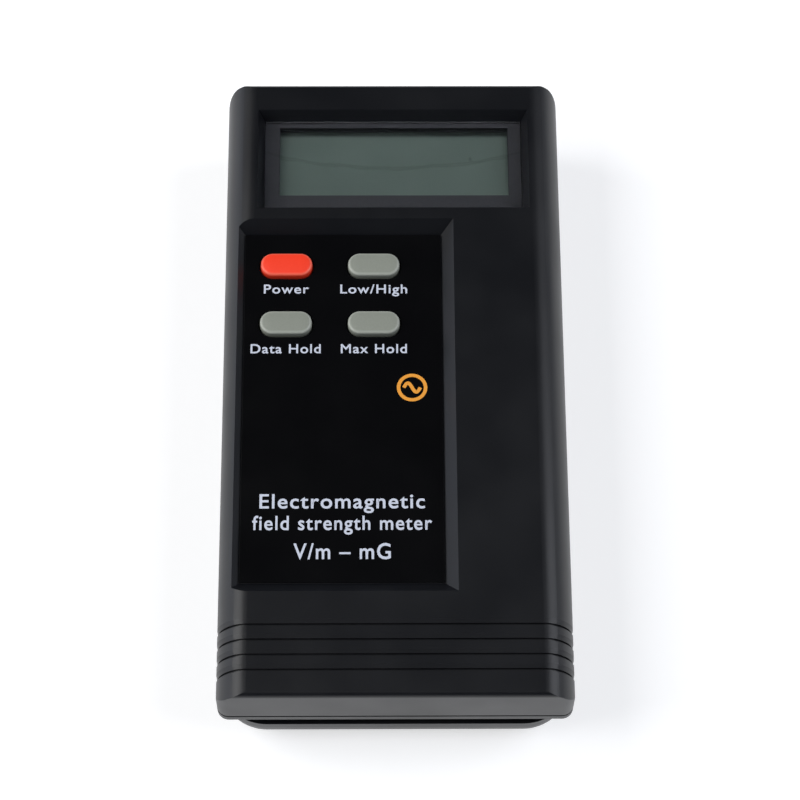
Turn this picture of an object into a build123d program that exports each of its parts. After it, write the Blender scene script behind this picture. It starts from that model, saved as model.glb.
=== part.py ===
from build123d import *
import math
import os

# Hand-held electromagnetic field meter, as separate pieces in one frame.
# It lies on its back: X runs across it, Y along it towards the display, and Z
# out of its front face. z = 0 is the flat back, and the origin is at its middle.
# Sizes are in millimetres.

# --- case: overall size and form ---
case_length = 130.0
case_width = 66.5
case_depth = 26.0
wall = 2.0
shoulder_width = 4.75
shoulder_drop = 7.0
shoulder_blend_radius = 4.5
front_corner_radius = 2.2
front_edge_radius = 1.0
inner_corner_radius = 1.0

# --- where the two shells meet ---
front_rim_z = 12.9
rear_rim_z = 10.0
rear_setback = 0.05
rear_corner_radius = 9.0
rear_roll_radius = 8.2
tongue_thickness = 1.2
tongue_rise = 0.9
tongue_root_drop = 2.6
tongue_root_inset = 0.9
shell_gap = 0.15
trim_line_rise = 1.5
trim_line_width = 0.55
trim_line_depth = 0.45

# --- grip grooves across the lower end of the front shell ---
groove_count = 4
groove_pitch = 2.94
groove_width = 0.6
groove_depth = 0.8
groove_lead_in = 0.9
groove_lead_drop = 0.3
first_groove_from_end = 5.19

# --- display: recess, window, lens and module ---
lens_width = 51.4
lens_height = 19.8
lens_thickness = 1.2
lens_gap = 0.1
lens_centre_from_end = 17.15
display_recess_depth = 2.5
display_bevel_run = 1.2
lens_ledge = 0.9
lens_ledge_thickness = 1.0
recess_wall = 1.5
recess_overshoot = 1.4
display_centre_x = 0.2
display_centre_from_end = 15.95
display_view_width = 45.8
display_view_height = 15.1
display_frame_width = 52.4
display_frame_low = 10.75
display_frame_high = 9.2
display_frame_height = 6.3
display_frame_wall = 0.9
display_frame_top = 0.6
panel_glass_thickness = 2.8
panel_gap = 0.15
reflector_thickness = 0.1
reflector_margin = 1.5
zebra_width = 1.8
zebra_length = 46.0

# --- label in its recess, and the four keys through it ---
label_recess_depth = 2.5
label_bevel_run = 2.4
label_floor_thickness = 1.5
label_thickness = 0.3
label_gap = 0.15
label_width = 38.65
label_left_inset = 4.0
label_top_from_end = 33.2
label_bottom_from_end = 23.0
key_width = 10.1
key_height = 4.9
key_corner_radius = 2.35
key_edge_radius = 0.5
key_proud = 1.3
key_gap = 0.35
key_stroke = 1.0
key_flange_margin = 0.9
key_flange_thickness = 0.7
key_flange_rest_gap = 0.3
key_post_radius = 1.5
key_post_clearance = 0.5
key_column_insets = (8.25, 25.35)
key_row_insets = (7.13, 19.83)

# --- push switches under the keys ---
switch_size = 6.2
switch_height = 3.5
switch_base = 0.4
switch_lid = 0.5
switch_bore_radius = 2.3
plunger_radius = 1.6
plunger_gap = 0.1
plunger_collar_radius = 2.1
plunger_collar_thickness = 0.6
dome_rise = 1.5
dome_thickness = 0.15
dome_radius = 2.1

# --- main board and what fastens it ---
board_thickness = 1.6
board_length = 66.0
board_top_from_end = 4.0
board_side_inset = 4.25
board_corner_radius = 3.5
board_post_side_inset = 3.5
board_post_low_inset = 4.0
board_post_mid_inset = 28.0
board_post_radius = 1.9
board_screw_radius = 1.0
board_screw_length = 6.0
board_screw_head_radius = 1.9
board_screw_head_height = 1.3
board_screw_gap = 0.15
thread_gap = 0.03

# --- case screws and their bosses ---
boss_spacing = 46.0
upper_boss_from_end = 32.5
lower_boss_from_end = 10.0
boss_radius = 3.2
boss_foot_radius = 4.0
boss_meet_rise = 0.3
case_screw_radius = 1.4
case_screw_length = 13.5
case_screw_head_radius = 2.5
case_screw_head_height = 1.7
case_screw_seat_z = 6.0
case_screw_gap = 0.25
boss_foot_rise = 1.6
recess_slot_width = 0.7
recess_slot_depth = 0.9
recess_arm_share = 0.75
screw_edge_share = 0.45
screw_tip_share = 0.5
post_hole_gap = 0.4

# --- battery, its bay and its snap connector ---
battery_width = 26.5
battery_depth = 17.5
battery_length = 46.4
battery_edge_radius = 2.0
battery_end_gap = 0.15
battery_lift = 0.35
terminal_spacing = 12.7
terminal_height = 2.3
stud_radius = 2.87
cup_radius = 4.0
cup_bore_radius = 3.05
cup_bottom = 0.5
contact_gap = 0.15
connector_width = 25.0
connector_depth = 12.5
connector_thickness = 3.0
connector_edge_radius = 1.5
bay_gap = 0.6
bay_rib_thickness = 1.6
bay_rib_top_z = 15.0
bay_end_rib_top_z = 9.0
bay_end_rib_gap = 0.4
hold_down_gap = 0.3
hold_down_thickness = 1.2
hold_down_width = 20.0
hold_down_insets = (24.0, 39.0)

# --- battery door on the back ---
door_gap = 0.25
door_end_gap = 1.2
door_tongue_width = 1.25
door_tongue_low_z = 0.95
door_tongue_thickness = 0.65
door_grip_count = 5
door_grip_pitch = 1.8
door_grip_width = 0.9
door_grip_length = 14.0
door_grip_depth = 0.4
door_grip_from_end = 12.0
door_arrow_length = 4.0
door_arrow_from_end = 26.0

# --- leads from the battery to the board ---
lead_radius = 0.65
lead_pad_inset = 17.0
lead_bend_factor = 0.45
lead_turns = [
    (2.5, 0.0, 0.0),
    (2.5, 0.22, 0.0),
    (8.0, 0.5, 2.0),
    (15.5, 0.4, 3.0),
    (21.0, 0.6, 2.5),
    (20.5, 0.92, 1.0),
    (14.5, 1.0, 0.6),
]

# --- parts on the board ---
chip_size = 12.0
chip_height = 1.8
chip_leg_count = 10
chip_leg_pitch = 1.0
chip_leg_width = 0.45
chip_leg_length = 1.4
chip_leg_thickness = 0.3
chip_side_inset = 16.0
chip_low_inset = 16.0
opamp_length = 4.9
opamp_width = 3.9
opamp_height = 1.5
opamp_leg_count = 4
opamp_leg_pitch = 1.27
opamp_offsets = ((-8.0, 6.0), (8.0, 4.5))
resistor_length = 1.6
resistor_width = 0.8
resistor_height = 0.5
resistor_count = 7
resistor_pitch = 1.9
resistor_row_places = (-15.2, -12.4)
capacitor_length = 2.0
capacitor_width = 1.25
capacitor_height = 0.9
capacitor_count = 5
capacitor_pitch = 2.2
capacitor_row_x = -19.0
small_part_low_inset = 1.8
electrolytic_radius = 2.5
electrolytic_height = 6.0
electrolytic_edge_radius = 0.5
electrolytic_side_inset = 2.7
electrolytic_low_inset = 10.0
electrolytic_pitch = 6.0
trimmer_size = 6.6
trimmer_height = 4.0
trimmer_x = 5.0
trimmer_from_end = 39.0
rotor_radius = 1.7
rotor_depth = 1.2
rotor_rise = 0.3
rotor_gap = 0.08
rotor_slot_width = 0.6
rotor_slot_depth = 0.5
core_radius = 2.0
core_length = 40.0
bobbin_gap = 0.05
bobbin_wall = 0.8
bobbin_flange = 9.2
bobbin_flange_thickness = 1.2
bobbin_length = 30.0
winding_thickness = 1.3
coil_from_end = 15.0
antenna_width = 40.0
antenna_length = 18.0
antenna_thickness = 0.3
antenna_roll_gap = 0.2
buzzer_radius = 6.0
buzzer_height = 7.5
buzzer_wall = 0.7
buzzer_port_radius = 1.2
buzzer_disc_radius = 4.8
buzzer_disc_thickness = 0.25
buzzer_disc_drop = 2.0
buzzer_shelf_width = 0.6
buzzer_x = 15.0
buzzer_from_end = 41.0
sound_hole_radius = 0.65
sound_hole_ring_radius = 2.6
sound_hole_count = 6

# --- places and levels that follow from the sizes above ---
top_end = case_length / 2
bottom_end = -case_length / 2
side = case_width / 2
reach = case_length
shoulder_radius = (shoulder_width ** 2 + shoulder_drop ** 2) / (2 * shoulder_width)
tongue_top_z = front_rim_z + tongue_rise
boss_meet_z = front_rim_z + boss_meet_rise

lens_centre_y = top_end - lens_centre_from_end
lens_top_z = case_depth - display_recess_depth
lens_seat_z = lens_top_z - lens_thickness
display_frame_top_z = lens_seat_z - lens_ledge_thickness
display_centre_y = top_end - display_centre_from_end
board_top_z = display_frame_top_z - display_frame_height
board_bottom_z = board_top_z - board_thickness
board_high_y = top_end - board_top_from_end
board_low_y = board_high_y - board_length
board_half_width = side - board_side_inset

label_floor_z = case_depth - label_recess_depth
label_ceiling_z = label_floor_z - label_floor_thickness
label_top_z = label_floor_z + label_thickness
label_left_x = -side + label_left_inset
label_right_x = label_left_x + label_width
label_high_y = top_end - label_top_from_end
label_low_y = bottom_end + label_bottom_from_end
key_columns = [label_left_x + inset for inset in key_column_insets]
key_rows = [label_high_y - inset for inset in key_row_insets]
key_places = {
    "power": (key_columns[0], key_rows[0]),
    "range": (key_columns[1], key_rows[0]),
    "hold": (key_columns[0], key_rows[1]),
    "max": (key_columns[1], key_rows[1]),
}
key_top_z = label_top_z + key_proud
key_flange_top_z = label_ceiling_z - key_flange_rest_gap
key_flange_low_z = key_flange_top_z - key_flange_thickness

upper_boss_y = top_end - upper_boss_from_end
lower_boss_y = bottom_end + lower_boss_from_end
upper_boss_places = [(sign * boss_spacing / 2, upper_boss_y) for sign in (-1, 1)]
lower_boss_places = [(sign * boss_spacing / 2, lower_boss_y) for sign in (-1, 1)]
boss_places = upper_boss_places + lower_boss_places
board_post_x = board_half_width - board_post_side_inset
centre_post_place = (sum(key_columns) / 2, sum(key_rows) / 2)
board_post_places = [
    (-board_post_x, board_low_y + board_post_low_inset),
    (board_post_x, board_low_y + board_post_low_inset),
    (board_post_x, board_low_y + board_post_mid_inset),
    centre_post_place,
]

battery_roll = rear_roll_radius - wall
battery_roll_run = battery_roll - math.sqrt(battery_roll ** 2 - (battery_roll - battery_lift) ** 2)
battery_low_y = bottom_end + rear_setback + wall + battery_roll_run + battery_end_gap
battery_high_y = battery_low_y + battery_length
battery_low_z = wall + battery_lift
battery_high_z = battery_low_z + battery_depth
battery_mid_z = (battery_low_z + battery_high_z) / 2
terminal_end_y = battery_high_y + terminal_height
connector_low_y = terminal_end_y + cup_bottom + contact_gap
connector_high_y = connector_low_y + connector_thickness
bay_half_width = battery_width / 2 + bay_gap
bay_end_rib_y = connector_high_y + bay_end_rib_gap
door_high_y = connector_low_y + door_end_gap


def block(x_low, x_high, y_low, y_high, z_low, z_high):
    """Plain block between two corners."""
    solid = Box(x_high - x_low, y_high - y_low, z_high - z_low, align=(Align.MIN,) * 3)
    return Pos(x_low, y_low, z_low) * solid


def rod(x, y, z_low, z_high, radius):
    """Upright round rod."""
    solid = Cylinder(radius, z_high - z_low, align=(Align.CENTER, Align.CENTER, Align.MIN))
    return Pos(x, y, z_low) * solid


def rod_along_y(x, z, y_low, y_high, radius):
    """Round rod that lies along the meter."""
    solid = Cylinder(radius, y_high - y_low, align=(Align.CENTER, Align.CENTER, Align.MIN))
    return Pos(x, y_low, z) * Rot(-90, 0, 0) * solid


def rod_along_x(y, z, x_low, x_high, radius):
    """Round rod that lies across the meter."""
    solid = Cylinder(radius, x_high - x_low, align=(Align.CENTER, Align.CENTER, Align.MIN))
    return Pos(x_low, y, z) * Rot(0, 90, 0) * solid


def plate(width, length, radius, z_low, z_high, x=0.0, y=0.0):
    """Flat plate with rounded corners in plan."""
    outline = RectangleRounded(width, length, radius)
    return Pos(x, y, z_low) * extrude(outline, z_high - z_low)


def fused(solids):
    """One solid from several that touch or overlap."""
    whole = solids[0]
    for solid in solids[1:]:
        whole = whole + solid
    return whole


def front_section(inset):
    """Section across the front shell: flat front blended into two arc shoulders."""
    half = side - inset
    top = case_depth - inset
    centre_x = side - shoulder_radius
    centre_z = case_depth - shoulder_drop
    radius = shoulder_radius - inset
    rise = top - centre_z
    crease_x = centre_x + math.sqrt(radius ** 2 - rise ** 2)
    half_angle = math.atan2(rise, crease_x - centre_x) / 2
    middle_x = centre_x + radius * math.cos(half_angle)
    middle_z = centre_z + radius * math.sin(half_angle)
    right_arc = ThreePointArc((half, centre_z), (middle_x, middle_z), (crease_x, top))
    left_arc = ThreePointArc((-crease_x, top), (-middle_x, middle_z), (-half, centre_z))
    front_line = Line((crease_x, top), (-crease_x, top))
    sides = Polyline((-half, centre_z), (-half, 0), (half, 0), (half, centre_z))
    outline = make_face(Plane.XZ * (right_arc + front_line + left_arc + sides))
    creases = outline.vertices().sort_by(Axis.Z)[-2:]
    return fillet(creases, shoulder_blend_radius - inset)


def front_form(inset, corner_radius, edge_radius):
    """Solid form of the front shell, drawn in by an inset."""
    length = case_length - 2 * inset
    width = case_width - 2 * inset
    height = 2 * (case_depth - inset)
    across = extrude(front_section(inset), reach, both=True)
    ends = extrude(Plane.YZ * RectangleRounded(length, height, edge_radius), reach, both=True)
    plan = plate(width, length, corner_radius, 0, reach)
    return across & ends & plan


def rear_form(inset):
    """Solid form of the rear shell, with rolled lower edges, drawn in by an inset."""
    length = case_length - 2 * (rear_setback + inset)
    width = case_width - 2 * (rear_setback + inset)
    form = plate(width, length, rear_corner_radius - inset, inset, case_depth)
    lower_edges = form.faces().sort_by(Axis.Z)[0].edges()
    return fillet(lower_edges, rear_roll_radius - inset)


def bevelled_recess(x_low, x_high, y_low, y_high, floor_z, depth, run):
    """Sunk panel with sloping sides, cut from its floor up past the front face."""
    spread = run * recess_overshoot
    centre = ((x_low + x_high) / 2, (y_low + y_high) / 2)
    floor = Pos(centre[0], centre[1], floor_z) * Rectangle(x_high - x_low, y_high - y_low)
    mouth_outline = Rectangle(x_high - x_low + 2 * spread, y_high - y_low + 2 * spread)
    mouth = Pos(centre[0], centre[1], floor_z + depth * recess_overshoot) * mouth_outline
    return loft([floor, mouth], ruled=True)


def key_outline(margin):
    """Rounded outline of a key, grown by a margin."""
    width = key_width + 2 * margin
    height = key_height + 2 * margin
    return RectangleRounded(width, height, key_corner_radius + margin)


def key_prism(x, y, z_low, z_high, margin):
    """Upright prism on the key outline."""
    return Pos(x, y, z_low) * extrude(key_outline(margin), z_high - z_low)


def grip_groove(y):
    """Groove across front and shoulders, with a sloping lead-in on its upper side."""
    slot_high = y + groove_width / 2
    lead_high = slot_high + groove_lead_in
    slab = block(-reach, reach, y - groove_width / 2, slot_high, 0, reach)
    slot_core = extrude(front_section(groove_depth), reach, both=True)
    slope = math.degrees(math.atan2(groove_lead_drop, groove_lead_in))
    lead_slab = block(-reach, reach, slot_high, lead_high, 0, reach)
    lead_start = Pos(0, lead_high, 0) * front_section(0)
    lead_core = extrude(lead_start, groove_lead_in, taper=slope)
    return (slab - slot_core) + (lead_slab - lead_core)


def front_shell():
    """Front moulding: recesses, windows, key holes, grip grooves, posts and bosses."""
    outer = front_form(0, front_corner_radius, front_edge_radius)
    outer = outer & block(-reach, reach, -reach, reach, front_rim_z, reach)
    display_half_x = lens_width / 2 + lens_gap
    display_half_y = lens_height / 2 + lens_gap
    window_half_x = lens_width / 2 - lens_ledge
    window_half_y = lens_height / 2 - lens_ledge
    display_grow = display_bevel_run + recess_wall
    label_grow = label_bevel_run + recess_wall
    display_tub = block(
        -display_half_x - display_grow,
        display_half_x + display_grow,
        lens_centre_y - display_half_y - display_grow,
        lens_centre_y + display_half_y + display_grow,
        display_frame_top_z,
        reach,
    )
    label_tub = block(
        -reach,
        label_right_x + label_grow,
        label_low_y - label_grow,
        label_high_y + label_grow,
        label_ceiling_z,
        reach,
    )
    cavity = front_form(wall, inner_corner_radius, inner_corner_radius)
    cavity = cavity - display_tub - label_tub
    shell = outer - cavity
    for x, y in boss_places:
        shell = shell + rod(x, y, boss_meet_z, case_depth - wall / 2, boss_radius)
    for x, y in board_post_places:
        shell = shell + rod(x, y, board_top_z, case_depth - wall / 2, board_post_radius)
    for inset in hold_down_insets:
        rib_y = battery_low_y + inset
        shell = shell + block(
            -hold_down_width / 2,
            hold_down_width / 2,
            rib_y - hold_down_thickness / 2,
            rib_y + hold_down_thickness / 2,
            battery_high_z + hold_down_gap,
            case_depth - wall / 2,
        )
    display_recess = bevelled_recess(
        -display_half_x,
        display_half_x,
        lens_centre_y - display_half_y,
        lens_centre_y + display_half_y,
        lens_top_z,
        display_recess_depth,
        display_bevel_run,
    )
    lens_pocket = block(
        -display_half_x,
        display_half_x,
        lens_centre_y - display_half_y,
        lens_centre_y + display_half_y,
        lens_seat_z,
        case_depth,
    )
    window = block(
        -window_half_x,
        window_half_x,
        lens_centre_y - window_half_y,
        lens_centre_y + window_half_y,
        0,
        case_depth,
    )
    label_recess = bevelled_recess(
        label_left_x,
        label_right_x,
        label_low_y,
        label_high_y,
        label_floor_z,
        label_recess_depth,
        label_bevel_run,
    )
    shell = shell - display_recess - lens_pocket - window - label_recess
    for x, y in key_places.values():
        shell = shell - key_prism(x, y, board_top_z, case_depth, key_gap)
    for x, y in boss_places:
        pilot_top_z = case_screw_seat_z + case_screw_length + thread_gap
        shell = shell - rod(x, y, 0, pilot_top_z, case_screw_radius + thread_gap)
    for x, y in board_post_places:
        pilot_top_z = board_bottom_z + board_screw_length + thread_gap
        shell = shell - rod(x, y, 0, pilot_top_z, board_screw_radius + thread_gap)
    for index in range(groove_count):
        groove_y = bottom_end + first_groove_from_end + index * groove_pitch
        shell = shell - grip_groove(groove_y)
    trim_low_z = front_rim_z + trim_line_rise
    trim_high_z = trim_low_z + trim_line_width
    trim_width = case_width - 2 * trim_line_depth
    trim_length = case_length - 2 * trim_line_depth
    trim_band = block(-reach, reach, -reach, reach, trim_low_z, trim_high_z)
    trim_core = plate(trim_width, trim_length, front_corner_radius, trim_low_z, trim_high_z)
    return shell - (trim_band - trim_core)


def rear_shell():
    """Rear moulding: tongue, screw bosses, battery bay, door opening, sound holes."""
    outer = rear_form(0) & block(-reach, reach, -reach, reach, 0, rear_rim_z)
    shell = outer - rear_form(wall)
    tongue_inset = wall + shell_gap
    tongue_radius = rear_corner_radius - (tongue_inset - rear_setback)
    tongue_low_z = rear_rim_z - tongue_root_drop
    tongue = plate(
        case_width - 2 * tongue_inset,
        case_length - 2 * tongue_inset,
        tongue_radius,
        tongue_low_z,
        tongue_top_z,
    )
    root_form = rear_form(tongue_root_inset)
    tongue = tongue + (root_form & block(-reach, reach, -reach, reach, tongue_low_z, rear_rim_z))
    tongue_bore = plate(
        case_width - 2 * (tongue_inset + tongue_thickness),
        case_length - 2 * (tongue_inset + tongue_thickness),
        tongue_radius - tongue_thickness,
        tongue_low_z,
        tongue_top_z,
    )
    shell = shell + (tongue - tongue_bore)
    tongue_plan = plate(
        case_width - 2 * tongue_inset,
        case_length - 2 * tongue_inset,
        tongue_radius,
        0,
        reach,
    )
    inner_limit = rear_form(tongue_root_inset) & tongue_plan
    for x, y in boss_places:
        foot = rod(x, y, 0, case_screw_seat_z + boss_foot_rise, boss_foot_radius)
        boss = foot + rod(x, y, 0, boss_meet_z, boss_radius)
        shell = shell + (boss & inner_limit)
    for sign in (-1, 1):
        rib_inner = sign * bay_half_width
        rib_outer = sign * (bay_half_width + bay_rib_thickness)
        rib = block(
            min(rib_inner, rib_outer),
            max(rib_inner, rib_outer),
            bottom_end,
            bay_end_rib_y,
            0,
            bay_rib_top_z,
        )
        shell = shell + (rib & inner_limit)
    end_rib_half = bay_half_width + bay_rib_thickness
    shell = shell + block(
        -end_rib_half,
        end_rib_half,
        bay_end_rib_y,
        bay_end_rib_y + bay_rib_thickness,
        wall / 2,
        bay_end_rib_top_z,
    )
    opening_high_y = door_high_y + door_gap
    groove_half = bay_half_width + door_tongue_width
    groove_low_z = door_tongue_low_z - door_gap
    groove_high_z = door_tongue_low_z + door_tongue_thickness + door_gap
    opening = block(-bay_half_width, bay_half_width, -reach, opening_high_y, -wall, wall + door_gap)
    groove = block(-groove_half, groove_half, -reach, opening_high_y, groove_low_z, groove_high_z)
    shell = shell - opening - groove
    for x, y in boss_places:
        head_bore_radius = case_screw_head_radius + case_screw_gap
        shell = shell - rod(x, y, -wall, case_screw_seat_z, head_bore_radius)
        shell = shell - rod(x, y, 0, reach, case_screw_radius + case_screw_gap)
    for x, y in sound_hole_places():
        shell = shell - rod(x, y, -wall, 2 * wall, sound_hole_radius)
    return shell


def sound_hole_places():
    """One hole in the middle and a ring of holes, under the buzzer."""
    y = top_end - buzzer_from_end
    places = [(buzzer_x, y)]
    for index in range(sound_hole_count):
        angle = 2 * math.pi * index / sound_hole_count
        hole_x = buzzer_x + sound_hole_ring_radius * math.cos(angle)
        hole_y = y + sound_hole_ring_radius * math.sin(angle)
        places.append((hole_x, hole_y))
    return places


def battery_door():
    """Sliding door: follows the back, with side tongues, finger grip and an arrow."""
    plate_half = bay_half_width - door_gap
    tongue_half = plate_half + door_tongue_width
    tongue_high_z = door_tongue_low_z + door_tongue_thickness
    panel = block(-plate_half, plate_half, -reach, door_high_y, 0, wall)
    tongues = block(-tongue_half, tongue_half, -reach, door_high_y, door_tongue_low_z, tongue_high_z)
    door = rear_form(0) & (panel + tongues)
    for index in range(door_grip_count):
        grip_y = bottom_end + door_grip_from_end + index * door_grip_pitch
        door = door - block(
            -door_grip_length / 2,
            door_grip_length / 2,
            grip_y - door_grip_width / 2,
            grip_y + door_grip_width / 2,
            -wall,
            door_grip_depth,
        )
    arrow_y = bottom_end + door_arrow_from_end
    arrow = Triangle(c=door_arrow_length, A=60, B=60)
    arrow_cut = Pos(0, arrow_y, 0) * extrude(Rot(0, 0, 180) * arrow, door_grip_depth)
    return door - arrow_cut


def display_lens():
    """Clear acrylic window in its pocket."""
    return Pos(0, lens_centre_y, lens_seat_z) * Box(
        lens_width,
        lens_height,
        lens_thickness,
        align=(Align.CENTER, Align.CENTER, Align.MIN),
    )


def keypad_label():
    """Thin printed overlay on the recess floor, with a hole for each key."""
    label = block(
        label_left_x + label_gap,
        label_right_x - label_gap,
        label_low_y + label_gap,
        label_high_y - label_gap,
        label_floor_z,
        label_top_z,
    )
    for x, y in key_places.values():
        label = label - key_prism(x, y, label_floor_z, label_top_z, key_gap)
    return label


def display_frame_box(margin, z_low, z_high):
    """Block on the outline of the display frame, drawn in by a margin."""
    half_width = display_frame_width / 2 - margin
    return block(
        display_centre_x - half_width,
        display_centre_x + half_width,
        display_centre_y - display_frame_low + margin,
        display_centre_y + display_frame_high - margin,
        z_low,
        z_high,
    )


def lcd_frame():
    """Moulded frame that stands on the board and carries the glass."""
    frame = display_frame_box(0, board_top_z, display_frame_top_z)
    roof_z = display_frame_top_z - display_frame_top
    frame = frame - display_frame_box(display_frame_wall, board_top_z, roof_z)
    view = Box(display_view_width, display_view_height, 2 * display_frame_height)
    return frame - Pos(display_centre_x, display_centre_y, display_frame_top_z) * view


def lcd_panel():
    """Liquid crystal cell: two glass plates as one slab, with a contact ledge."""
    panel_high_z = display_frame_top_z - display_frame_top
    panel_low_z = panel_high_z - panel_glass_thickness
    return display_frame_box(display_frame_wall + panel_gap, panel_low_z, panel_high_z)


def lcd_reflector():
    """Thin reflective film behind the glass, between the two contact strips."""
    panel_low_z = display_frame_top_z - display_frame_top - panel_glass_thickness
    margin = display_frame_wall + panel_gap + zebra_width + reflector_margin
    return display_frame_box(margin, panel_low_z - reflector_thickness, panel_low_z)


def zebra_strips():
    """Two layered rubber strips that join the glass to the board."""
    panel_low_z = display_frame_top_z - display_frame_top - panel_glass_thickness
    margin = display_frame_wall + panel_gap
    low_y = display_centre_y - display_frame_low + margin
    high_y = display_centre_y + display_frame_high - margin
    half = zebra_length / 2
    x_low = display_centre_x - half
    x_high = display_centre_x + half
    lower = block(x_low, x_high, low_y, low_y + zebra_width, board_top_z, panel_low_z)
    upper = block(x_low, x_high, high_y - zebra_width, high_y, board_top_z, panel_low_z)
    return Compound(children=[lower, upper])


def main_pcb():
    """Fibreglass board with holes for the bosses and its own screws."""
    board_mid_y = (board_low_y + board_high_y) / 2
    board = plate(
        2 * board_half_width,
        board_length,
        board_corner_radius,
        board_bottom_z,
        board_top_z,
        y=board_mid_y,
    )
    for x, y in upper_boss_places:
        board = board - rod(x, y, board_bottom_z, board_top_z, boss_radius + post_hole_gap)
    for x, y in board_post_places:
        hole_radius = board_screw_radius + board_screw_gap
        board = board - rod(x, y, board_bottom_z, board_top_z, hole_radius)
    return board


def keycap(x, y):
    """Moulded key: rounded top, retaining flange and a post on the switch."""
    top = key_prism(x, y, key_flange_top_z, key_top_z, 0)
    top_edges = top.faces().sort_by(Axis.Z)[-1].edges()
    top = fillet(top_edges, key_edge_radius)
    flange = key_prism(x, y, key_flange_low_z, key_flange_top_z, key_flange_margin)
    post = rod(x, y, plunger_top_z(), key_flange_low_z, key_post_radius)
    return top + flange + post


def plunger_top_z():
    """Level where the key's post stands on the switch plunger."""
    return board_top_z + switch_height + key_stroke + key_post_clearance


def dome_low_z():
    """Level of the switch floor, which the dome stands on."""
    return board_top_z + switch_base


def switch_plunger(x, y):
    """Plunger: a stem through the switch lid on a collar that the lid holds in."""
    collar_low_z = dome_low_z() + dome_rise
    collar_high_z = collar_low_z + plunger_collar_thickness
    collar = rod(x, y, collar_low_z, collar_high_z, plunger_collar_radius)
    return collar + rod(x, y, collar_high_z, plunger_top_z(), plunger_radius)


def snap_dome(x, y):
    """Sprung metal dome that returns the plunger."""
    chord = dome_radius
    rise = dome_rise
    outer_radius = (chord ** 2 + rise ** 2) / (2 * rise)
    centre_z = dome_low_z() + rise - outer_radius
    outer = Pos(x, y, centre_z) * Sphere(outer_radius)
    inner = Pos(x, y, centre_z) * Sphere(outer_radius - dome_thickness)
    shell = outer - inner
    return shell & rod(x, y, dome_low_z(), dome_low_z() + 2 * rise, 2 * dome_radius)


def switch_body(x, y):
    """Square switch housing: floor, bore and a lid with the stem's hole."""
    half = switch_size / 2
    low_z = board_top_z
    high_z = low_z + switch_height
    body = block(x - half, x + half, y - half, y + half, low_z, high_z)
    body = body - rod(x, y, dome_low_z(), high_z - switch_lid, switch_bore_radius)
    return body - rod(x, y, dome_low_z(), high_z, plunger_radius + plunger_gap)


def switch_bodies():
    """The four alike switch housings."""
    return Compound(children=[switch_body(x, y) for x, y in key_places.values()])


def adc_chip():
    """Square converter chip with legs on its four sides."""
    x, y = chip_place()
    low_z = board_top_z
    body_low_z = low_z + chip_leg_thickness / 2
    half = chip_size / 2
    solids = [block(x - half, x + half, y - half, y + half, body_low_z, low_z + chip_height)]
    run = (chip_leg_count - 1) * chip_leg_pitch / 2
    leg_reach = half + chip_leg_length
    leg_half = chip_leg_width / 2
    leg_high_z = low_z + chip_leg_thickness
    for index in range(chip_leg_count):
        along = -run + index * chip_leg_pitch
        low = along - leg_half
        high = along + leg_half
        solids.append(block(x - leg_reach, x + leg_reach, y + low, y + high, low_z, leg_high_z))
        solids.append(block(x + low, x + high, y - leg_reach, y + leg_reach, low_z, leg_high_z))
    return fused(solids)


def chip_place():
    """Middle of the converter chip on the board."""
    return (board_half_width - chip_side_inset, board_low_y + chip_low_inset)


def opamp_chip(x, y):
    """Small amplifier chip with legs on two sides."""
    low_z = board_top_z
    body_low_z = low_z + chip_leg_thickness / 2
    half_x = opamp_width / 2
    half_y = opamp_length / 2
    solids = [block(x - half_x, x + half_x, y - half_y, y + half_y, body_low_z, low_z + opamp_height)]
    run = (opamp_leg_count - 1) * opamp_leg_pitch / 2
    leg_reach = half_x + chip_leg_length
    leg_half = chip_leg_width / 2
    for index in range(opamp_leg_count):
        leg_y = y - run + index * opamp_leg_pitch
        leg_high_z = low_z + chip_leg_thickness
        leg = block(x - leg_reach, x + leg_reach, leg_y - leg_half, leg_y + leg_half, low_z, leg_high_z)
        solids.append(leg)
    return fused(solids)


def opamp_chips():
    """Two amplifier chips beside the sensor inputs."""
    return Compound(children=[opamp_chip(x, board_low_y + rise) for x, rise in opamp_offsets])


def chip_row(count, pitch, x, y, length, width, height):
    """Row of small parts soldered flat on the board, each one a block."""
    solids = []
    for index in range(count):
        place_y = y + index * pitch
        part = Box(length, width, height, align=(Align.CENTER, Align.CENTER, Align.MIN))
        solids.append(Pos(x, place_y, board_top_z) * part)
    return solids


def chip_resistors():
    """Surface-mount resistors in two rows."""
    sizes = (resistor_length, resistor_width, resistor_height)
    low_y = board_low_y + small_part_low_inset
    solids = []
    for x in resistor_row_places:
        solids += chip_row(resistor_count, resistor_pitch, x, low_y, *sizes)
    return Compound(children=solids)


def chip_capacitors():
    """Surface-mount capacitors in one row."""
    sizes = (capacitor_length, capacitor_width, capacitor_height)
    low_y = board_low_y + small_part_low_inset
    return Compound(children=chip_row(capacitor_count, capacitor_pitch, capacitor_row_x, low_y, *sizes))


def electrolytic_caps():
    """Two upright electrolytic capacitors."""
    solids = []
    for offset in (0.0, electrolytic_pitch):
        x = board_half_width - electrolytic_side_inset
        y = board_low_y + electrolytic_low_inset + offset
        can = rod(x, y, board_top_z, board_top_z + electrolytic_height, electrolytic_radius)
        can = fillet(can.faces().sort_by(Axis.Z)[-1].edges(), electrolytic_edge_radius)
        solids.append(can)
    return Compound(children=solids)


def trimmer_place():
    """Middle of the calibration trimmer on the board."""
    return (trimmer_x, top_end - trimmer_from_end)


def trimmer_body():
    """Square trimmer housing with a round well for its rotor."""
    x, y = trimmer_place()
    half = trimmer_size / 2
    high_z = board_top_z + trimmer_height
    body = block(x - half, x + half, y - half, y + half, board_top_z, high_z)
    return body - rod(x, y, high_z - rotor_depth, high_z, rotor_radius + rotor_gap)


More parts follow.
